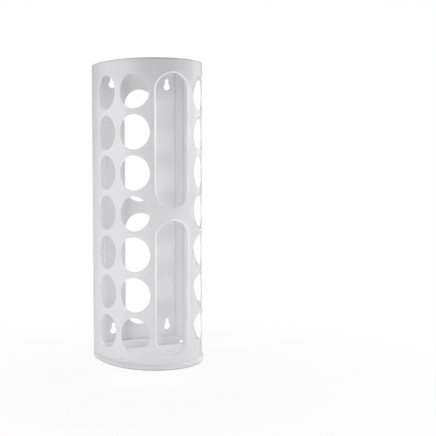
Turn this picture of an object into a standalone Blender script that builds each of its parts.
"""Wall-hung dispenser for used carrier bags, in white polypropylene.

A perforated sheet is bent round into a deep U and closed at the back by two narrow flaps that
fold in along living hinges. A flat back panel with four keyholes lies in front of the flaps, and
a D-shaped tray clips on underneath. Bags go in at the open top and are pulled out through the
two long openings at the front.

Frame: origin at the middle of the footprint, on the plane the tray stands on, +X to the right,
+Y into the wall, +Z up. The pieces are laid out in front of the wall plane, y = 0, and are moved
along +Y by half the depth at the end. Dimensions are in millimetres, meshes in metres.
"""

import math

import bmesh
import bpy
from mathutils import Matrix

MM = 0.001
SIDES = ((-1, "left"), (1, "right"))

HEIGHT = 450.0              # bottom of the tray to the top edge of the sheet

# Front sheet. Seen from above, its outer line starts at the nose, the front-most point, and its
# curvature in 1/mm at an arc position is c0 + c1 u + c2 u^2, with u = (arc / BEND_ARC)^2.
SHEET_T = 1.6
HALF_ARC = 182.9            # nose to back corner, along the outer face
NOSE_Y = -142.6
BEND = (0.015679, -0.023360, 0.011789)
BEND_ARC = 150.0
TABLE_STEPS = 2000          # integration steps from the nose to a back corner
ARC_STEPS = 16              # facets from the nose to a back corner
MIN_LAST_FACET = 0.5        # least run in Y of the facet that meets a back edge
SHEET_Z = (2.0, HEIGHT)
SHEET_BACK_Y = -0.45        # back edge of the outer face; the inner face ends SHEET_T before it

# Round holes, dispensing openings and small flank windows in the sheet
HOLE_R = 25.16
HOLE_ROWS = 7
HOLE_PITCH = 58.97
HOLE_MID_Z = 226.9
HOLE_ARCS = (60.1, 120.0)   # arc positions of the two columns on each side
HOLE_SIDES = 20
HOLE_PUNCH_L = 36.0
SLOT_HALF = 26.0
SLOTS_Z = ((22.6, 217.6), (236.3, 429.2))
SLOT_PUNCH_Y = (NOSE_Y - 12.0, NOSE_Y + 24.0)
SNAP_ARC = 82.0             # arc position of the windows and of the tray's tabs
WINDOW_W, WINDOW_H = 2.4, 3.6
WINDOW_Z = 13.5
WINDOW_PUNCH_REACH = 6.0

# Flaps of the sheet, flat against the wall plane
FLAP_T = SHEET_T
FLAP_INNER_X = 33.0
FLAP_CORNER = 4.0
FLAP_OPENING_HALF = 7.5     # opening behind each keyhole: half width,
FLAP_OPENING_BELOW = 9.0    # and reach below
FLAP_OPENING_ABOVE = 16.4   # and above the keyhole's centre
NOTCH_X = (68.0, 74.5)
NOTCH_Z = (7.6, 10.8)

# Back panel, in front of the flaps; each pair in Y is the front and rear face
PANEL_HALF_W = 60.3         # at the rear face
PANEL_SLOPE = 2.3           # how far the long side edges slope in to the front face
PANEL_CORNER = 3.0
PANEL_Y = (-4.2, -1.9)
PANEL_Z = (2.2, 449.4)
PANEL_BITE = 0.8            # overlap of spacers and nub with the panel
OPENING_HALF = 25.3
OPENINGS_Z = ((44.3, 221.4), (239.8, 415.7))
KEY_X, KEY_Z = 45.7, (37.1, 421.8)
KEY_R, KEY_SLOT_HALF, KEY_HEIGHT = 5.2, 2.7, 17.8
SPACER_HALF_W, SPACER_H = 30.0, 9.0
SPACER_Z = (31.5, 230.5, 432.5)
PEG_X, PEG_Z = 51.0, (80.0, 225.0, 370.0)
PEG_R, PEG_L, PEG_MID_Y = 2.0, 2.6, -1.4
PEG_HOLE_R = 2.35
PEG_SIDES = 12
NUB_HALF_W, NUB_PROUD = 1.6, 1.3
NUB_Z = (22.3, 24.3)

# Bottom tray; offsets are from the sheet's outer line, positive outwards
RIM_GAP, RIM_T, RIM_H = 0.35, 1.6, 8.5
RIM_OUTSIDE = RIM_GAP + RIM_T
RIM_END_Y = -14.0           # the outside rim stops this far in front of the wall
RIM_END_GAP = 0.2           # what is left outside the sheet's corner behind that
TRAY_BACK = -0.3
CHANNEL_Z = 1.6             # bottom of the channel that takes the sheet's lower edge
CHANNEL_FRONT_SIDE_Y = -1.0  # where the channel's outer edge turns straight back
INNER_WALL = (-3.5, -1.95)  # offsets of the channel's inner wall
INNER_WALL_BACK = (-6.3, -4.7)   # its front and rear face along the back
FLOOR_Z = (5.4, 7.0)
WELL_OFFSET, WELL_BACK = -0.8, -3.0
LIP_HALF_W = 66.0
LIP_Y = (-6.2, -4.8)
LIP_Z = (3.0, 20.5)
TAB_W = 10.0
TAB_INWARD = (2.1, 3.3)     # outer and inner face, inwards from the sheet's outer line
TAB_Z = (4.0, 17.0)

DEPTH = RIM_OUTSIDE - NOSE_Y     # front of the tray's rim to the wall plane


# ---------------------------------------------------------------- scene

def collection(name, parent):
    made = bpy.data.collections.new(name)
    parent.children.link(made)
    return made


for old in list(bpy.data.objects):
    bpy.data.objects.remove(old)
for old in list(bpy.data.collections):
    bpy.data.collections.remove(old)

PARTS = collection("plastic_bag_holder", bpy.context.scene.collection)
TOOLS = collection("cutters", bpy.context.scene.collection)


# ---------------------------------------------------------------- the sheet's line

def bend_at(arc):
    u = (arc / BEND_ARC) ** 2
    return BEND[0] + BEND[1] * u + BEND[2] * u * u


def arc_table():
    """x, y and heading at even steps along the right half of the sheet's outer line."""
    x, y, heading = 0.0, NOSE_Y, 0.0
    table = [(x, y, heading)]
    step = HALF_ARC / TABLE_STEPS
    for i in range(TABLE_STEPS):
        bend = bend_at((i + 0.5) * step)
        middle = heading + bend * step / 2
        x += math.cos(middle) * step
        y += math.sin(middle) * step
        heading += bend * step
        table.append((x, y, heading))
    return table


TABLE = arc_table()


def on_sheet(arc, offset=0.0):
    """Point and heading at a signed arc position, moved outwards by offset."""
    place = abs(arc) / HALF_ARC * TABLE_STEPS
    low = min(int(place), TABLE_STEPS - 1)
    part = place - low
    x, y, heading = (a + (b - a) * part for a, b in zip(TABLE[low], TABLE[low + 1]))
    x += offset * math.sin(heading)
    y -= offset * math.cos(heading)
    side = -1.0 if arc < 0 else 1.0
    return side * x, y, side * heading


CORNER_X = on_sheet(HALF_ARC)[0]


def half_line(offset, back_y):
    """Facet corners from the nose to the back on the right, ending exactly at back_y."""
    points = [on_sheet(HALF_ARC * i / ARC_STEPS, offset)[:2] for i in range(ARC_STEPS + 1)]
    in_front = sum(y < back_y - MIN_LAST_FACET for _, y in points)
    last = min(in_front, ARC_STEPS)
    (x0, y0), (x1, y1) = points[last - 1], points[last]
    t = (back_y - y0) / (y1 - y0)
    return points[:last] + [(x0 + (x1 - x0) * t, back_y)]


def full_line(offset, back_y):
    right = half_line(offset, back_y)
    return [(-x, y) for x, y in reversed(right[1:])] + right


def bent_half_width(flat_half, bend):
    """Half the chord of an opening that was punched in the sheet while flat."""
    return math.sin(flat_half * bend) / bend


# ---------------------------------------------------------------- outlines

def arc_points(x, z, rx, rz, start, span, steps):
    angles = [start + span * i / steps for i in range(steps + 1)]
    return [(x + rx * math.cos(a), z + rz * math.sin(a)) for a in angles]


def round_loop(x, z, r, sides):
    return arc_points(x, z, r, r, 0.0, math.tau, sides)[:-1]


def obround_loop(x, low, high, half_w, steps, end_h=None):
    """A tall opening with round ends; end_h is their height where it differs from half_w."""
    end_h = end_h or half_w
    top = arc_points(x, high - end_h, half_w, end_h, 0.0, math.pi, steps)
    bottom = arc_points(x, low + end_h, -half_w, -end_h, 0.0, math.pi, steps)
    return top + bottom


def keyhole_loop(x, z):
    """A round hole about (x, z) with a narrower slot rising from it."""
    slot_z = z + KEY_HEIGHT - KEY_R - KEY_SLOT_HALF
    slot = arc_points(x, slot_z, KEY_SLOT_HALF, KEY_SLOT_HALF, 0.0, math.pi, 6)
    neck = math.acos(KEY_SLOT_HALF / KEY_R)
    span = math.tau - (math.pi - 2 * neck)
    return slot + arc_points(x, z, KEY_R, KEY_R, math.pi - neck, span, 12)


def rounded_rect(x_range, z_range, radii=(0, 0, 0, 0), steps=4):
    """Corner radii in the order bottom left, bottom right, top right, top left."""
    x0, x1 = x_range
    z0, z1 = z_range
    # Corner, direction towards the middle, start angle
    corners = (
        (x0, z0, 1, 1, math.pi),
        (x1, z0, -1, 1, 1.5 * math.pi),
        (x1, z1, -1, -1, 0.0),
        (x0, z1, 1, -1, 0.5 * math.pi),
    )
    points = []
    for (x, z, in_x, in_z, start), r in zip(corners, radii):
        if r > 0:
            points += arc_points(x + in_x * r, z + in_z * r, r, r, start, 0.5 * math.pi, steps)
        else:
            points.append((x, z))
    return points


# ---------------------------------------------------------------- objects

def plate(name, loops, low, high, home, upright=False):
    """A flat outline with holes, thick from low to high along Z, or along Y if upright in XZ."""
    curve = bpy.data.curves.new(name + "_outline", "CURVE")
    curve.dimensions = "2D"
    curve.fill_mode = "BOTH"
    curve.extrude = (high - low) / 2 * MM
    for loop in loops:
        spline = curve.splines.new("POLY")
        spline.points.add(len(loop) - 1)
        for point, (u, v) in zip(spline.points, loop):
            point.co = (u * MM, v * MM, 0.0, 1.0)
        spline.use_cyclic_u = True
    guide = bpy.data.objects.new(name + "_outline", curve)
    bpy.context.scene.collection.objects.link(guide)
    middle = (low + high) / 2 * MM
    if upright:
        stand = Matrix.Rotation(math.pi / 2, 4, "X")
        guide.matrix_world = Matrix.Translation((0, middle, 0)) @ stand
    else:
        guide.matrix_world = Matrix.Translation((0, 0, middle))
    bpy.context.view_layer.update()
    evaluated = guide.evaluated_get(bpy.context.evaluated_depsgraph_get())
    mesh = bpy.data.meshes.new_from_object(evaluated)
    mesh.name = name
    # Join the caps to the sides, so that the plate is a closed solid
    bm = bmesh.new()
    bm.from_mesh(mesh)
    bmesh.ops.remove_doubles(bm, verts=bm.verts, dist=1e-6)
    bmesh.ops.recalc_face_normals(bm, faces=bm.faces)
    piece = finish_mesh(name, bm, mesh, home)
    piece.matrix_world = guide.matrix_world.copy()
    bpy.data.objects.remove(guide)
    bpy.data.curves.remove(curve)
    return piece


def finish_mesh(name, bm, mesh, home):
    bm.to_mesh(mesh)
    bm.free()
    piece = bpy.data.objects.new(name, mesh)
    home.objects.link(piece)
    return piece


def block(name, x_range, y_range, z_range, home, turn=0.0, at=(0.0, 0.0)):
    """A box over three ranges about the point at, turned about the vertical through it."""
    ranges = (x_range, y_range, z_range)
    bm = bmesh.new()
    bmesh.ops.create_cube(bm, size=1.0)
    bmesh.ops.scale(bm, vec=[(b - a) * MM for a, b in ranges], verts=bm.verts)
    bmesh.ops.translate(bm, vec=[(a + b) / 2 * MM for a, b in ranges], verts=bm.verts)
    piece = finish_mesh(name, bm, bpy.data.meshes.new(name), home)
    piece.location = (at[0] * MM, at[1] * MM, 0)
    piece.rotation_euler = (0, 0, turn)


def rod(name, r, length, sides, home, at, turn=0.0, squash=1.0):
    """A round bar along its own Y, centred on at, which may be narrower in X."""
    bm = bmesh.new()
    bmesh.ops.create_cone(
        bm, cap_ends=True, segments=sides, radius1=r * MM, radius2=r * MM, depth=length * MM)
    bmesh.ops.rotate(bm, matrix=Matrix.Rotation(math.pi / 2, 3, "X"), verts=bm.verts)
    bmesh.ops.scale(bm, vec=(squash, 1, 1), verts=bm.verts)
    piece = finish_mesh(name, bm, bpy.data.meshes.new(name), home)
    piece.location = [c * MM for c in at]
    piece.rotation_euler = (0, 0, turn)


def about(middle, half):
    return middle - half, middle + half


def mirrored(side, x_range):
    """A range in X on the given side, in rising order."""
    return sorted(side * x for x in x_range)


def boolean(piece, operands, operation):
    step = piece.modifiers.new(operands.name, "BOOLEAN")
    step.operation = operation
    step.solver = "EXACT"
    step.operand_type = "COLLECTION"
    step.collection = operands


def set_origin(piece, point=(0, 0, 0)):
    """Moves the origin to a point in millimetres and leaves the shape where it is."""
    bpy.context.view_layer.update()
    piece.data.transform(piece.matrix_world)
    piece.matrix_world = Matrix.Identity(4)
    piece.data.transform(Matrix.Translation([-c * MM for c in point]))
    piece.location = [c * MM for c in point]


def add_plastic(piece, name, color, roughness):
    material = bpy.data.materials.new(name)
    material.use_nodes = True
    shader = material.node_tree.nodes["Principled BSDF"]
    shader.inputs["Base Color"].default_value = (*color, 1.0)
    shader.inputs["Roughness"].default_value = roughness
    shader.inputs["Metallic"].default_value = 0.0
    material.diffuse_color = (*color, 1.0)
    piece.data.materials.append(material)


# ---------------------------------------------------------------- front sheet

def punch_holes(punches):
    for arc in HOLE_ARCS:
        squash = bent_half_width(HOLE_R, bend_at(arc)) / HOLE_R
        for side, word in SIDES:
            x, y, heading = on_sheet(side * arc)
            for row in range(HOLE_ROWS):
                z = HOLE_MID_Z + (row - (HOLE_ROWS - 1) / 2) * HOLE_PITCH
                rod(f"punch_{word[0]}{arc:.0f}_{row + 1}", HOLE_R, HOLE_PUNCH_L, HOLE_SIDES,
                    punches, (x, y, z), heading, squash)


def make_front_sheet():
    outer = full_line(0.0, SHEET_BACK_Y)
    inner = full_line(-SHEET_T, SHEET_BACK_Y - SHEET_T)
    sheet = plate("front_sheet", [outer + inner[::-1]], *SHEET_Z, PARTS)
    punches = collection("sheet_punches", TOOLS)
    punch_holes(punches)
    slot_half = bent_half_width(SLOT_HALF, BEND[0])
    for k, (low, high) in enumerate(SLOTS_Z, 1):
        loop = obround_loop(0.0, low, high, slot_half, steps=10, end_h=SLOT_HALF)
        plate(f"slot_punch_{k}", [loop], *SLOT_PUNCH_Y, punches, upright=True)
    for side, word in SIDES:
        x, y, heading = on_sheet(side * SNAP_ARC)
        block(f"window_punch_{word[0]}", about(0, WINDOW_W / 2), about(0, WINDOW_PUNCH_REACH),
              about(WINDOW_Z, WINDOW_H / 2), punches, heading, (x, y))
    boolean(sheet, punches, "DIFFERENCE")
    add_plastic(sheet, "sheet_white", color=(0.84, 0.845, 0.86), roughness=0.42)
    set_origin(sheet)


# ---------------------------------------------------------------- flaps

def make_flap(side, word):
    r = FLAP_CORNER
    radii = (r, 0, 0, r) if side > 0 else (0, r, r, 0)
    loops = [rounded_rect(mirrored(side, (FLAP_INNER_X, CORNER_X)), SHEET_Z, radii)]
    for z in KEY_Z:
        low, high = z - FLAP_OPENING_BELOW, z + FLAP_OPENING_ABOVE
        loops.append(obround_loop(side * KEY_X, low, high, FLAP_OPENING_HALF, steps=8))
    loops += [round_loop(side * PEG_X, z, PEG_HOLE_R, PEG_SIDES) for z in PEG_Z]
    loops.append(rounded_rect(mirrored(side, NOTCH_X), NOTCH_Z))
    flap = plate(f"{word}_flap", loops, -FLAP_T, 0.0, PARTS, upright=True)
    set_origin(flap)
    # Mitre the edge along the fold, so that it closes onto the sheet's mitred edge
    for vertex in flap.data.vertices:
        if abs(vertex.co.x) > (CORNER_X - 0.1) * MM and vertex.co.y < -0.5 * FLAP_T * MM:
            vertex.co.x -= side * FLAP_T * MM
    set_origin(flap, (side * CORNER_X, 0, 0))
    add_plastic(flap, f"{word}_flap_white", color=(0.85, 0.855, 0.86), roughness=0.42)


# ---------------------------------------------------------------- back panel

def slope_panel_sides(panel):
    """Slope the long side edges inwards to the front face."""
    for vertex in panel.data.vertices:
        beyond = abs(vertex.co.x) / MM - (PANEL_HALF_W - PANEL_CORNER)
        if beyond > 0 and vertex.co.y < sum(PANEL_Y) / 2 * MM:
            inwards = PANEL_SLOPE * beyond / PANEL_CORNER * MM
            vertex.co.x -= math.copysign(inwards, vertex.co.x)


def make_back_panel():
    front, rear = PANEL_Y
    loops = [rounded_rect(about(0, PANEL_HALF_W), PANEL_Z, (PANEL_CORNER,) * 4, steps=3)]
    loops += [obround_loop(0.0, *span, OPENING_HALF, steps=14) for span in OPENINGS_Z]
    loops += [keyhole_loop(side * KEY_X, z) for side, _ in SIDES for z in KEY_Z]
    panel = plate("back_panel", loops, front, rear, PARTS, upright=True)
    set_origin(panel)
    slope_panel_sides(panel)
    extras = collection("panel_extras", TOOLS)
    for k, z in enumerate(SPACER_Z, 1):
        block(f"spacer_{k}", about(0, SPACER_HALF_W), (rear - PANEL_BITE, 0.0),
              about(z, SPACER_H / 2), extras)
    for side, word in SIDES:
        for k, z in enumerate(PEG_Z, 1):
            at = (side * PEG_X, PEG_MID_Y, z)
            rod(f"peg_{word[0]}{k}", PEG_R, PEG_L, PEG_SIDES, extras, at)
    block("catch_nub", about(0, NUB_HALF_W), (front - NUB_PROUD, front + PANEL_BITE), NUB_Z,
          extras)
    boolean(panel, extras, "UNION")
    add_plastic(panel, "panel_white", color=(0.80, 0.805, 0.82), roughness=0.46)
    set_origin(panel)


# ---------------------------------------------------------------- bottom tray

def cut_tray(cuts):
    """Cutters; their far ends only have to clear the tray."""
    channel = full_line(RIM_GAP, CHANNEL_FRONT_SIDE_Y)
    channel = [(channel[0][0], 8.0)] + channel + [(channel[-1][0], 8.0)]
    wall_front, wall_rear = INNER_WALL_BACK
    island = full_line(INNER_WALL[1], wall_rear)
    plate("channel_cut", [channel, island], CHANNEL_Z, 14.0, cuts)
    plate("well_cut", [full_line(WELL_OFFSET, WELL_BACK)], FLOOR_Z[1], 15.0, cuts)
    plate("underside_cut", [full_line(INNER_WALL[0], wall_front)], -4.0, FLOOR_Z[0], cuts)
    flush_x = CORNER_X + RIM_END_GAP
    for side, word in SIDES:
        block(f"rim_end_cut_{word[0]}", mirrored(side, (flush_x, flush_x + 8.0)),
              (RIM_END_Y, 6.0), (-3.0, 16.0), cuts)


def make_bottom_tray():
    tray = plate("bottom_tray", [full_line(RIM_OUTSIDE, TRAY_BACK)], 0.0, RIM_H, PARTS)
    cuts = collection("tray_cuts", TOOLS)
    cut_tray(cuts)
    boolean(tray, cuts, "DIFFERENCE")
    extras = collection("tray_extras", TOOLS)
    block("rear_lip", about(0, LIP_HALF_W), LIP_Y, LIP_Z, extras)
    for side, word in SIDES:
        x, y, heading = on_sheet(side * SNAP_ARC)
        block(f"snap_tab_{word[0]}", about(0, TAB_W / 2), TAB_INWARD, TAB_Z, extras,
              heading, (x, y))
    boolean(tray, extras, "UNION")
    add_plastic(tray, "tray_white", color=(0.86, 0.865, 0.87), roughness=0.38)
    set_origin(tray)


# ---------------------------------------------------------------- assembly

make_back_panel()
make_front_sheet()
for flap_side, flap_word in SIDES:
    make_flap(flap_side, flap_word)
make_bottom_tray()

for group in TOOLS.children:
    for tool in group.objects:
        tool.hide_render = True
        tool.display_type = "WIRE"

# From the wall plane to the middle of the footprint
for piece in bpy.data.objects:
    piece.location.y += DEPTH / 2 * MM
